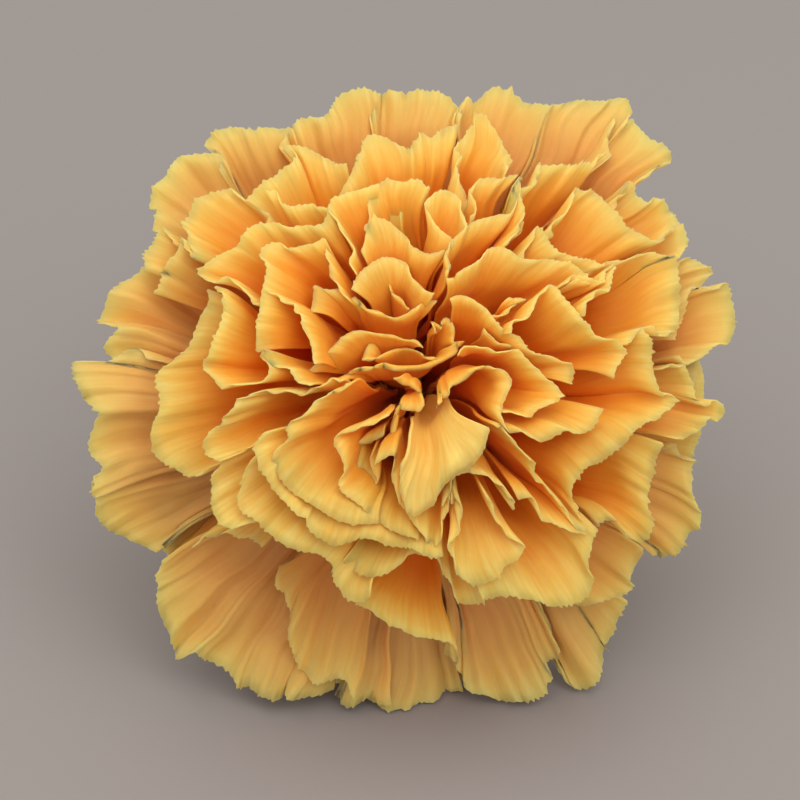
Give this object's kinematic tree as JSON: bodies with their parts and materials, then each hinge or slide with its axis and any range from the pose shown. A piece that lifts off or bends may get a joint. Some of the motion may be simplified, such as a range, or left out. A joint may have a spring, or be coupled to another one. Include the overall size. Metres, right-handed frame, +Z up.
{
  "type": "carnation flower",
  "caption": "Carnation bloom with layers of ruffled, toothed petals in a green calyx with a short cut stem, lying down with its face leaning up and forward.",
  "frame": {"origin": "centre of the bounding box's base, on the surface that the flower lies on", "axes": "+Z up; the flower's face leans up and toward -Y, its stem points down and toward +Y, and +X runs across the bloom's full width"},
  "size_m": [0.0762, 0.058, 0.0607],
  "materials": {
    "petals": "matte",
    "calyx": "satin"
  },
  "bodies": {
    "root": {"petals": "petals", "calyx": "calyx"}
  },
  "joints": []
}
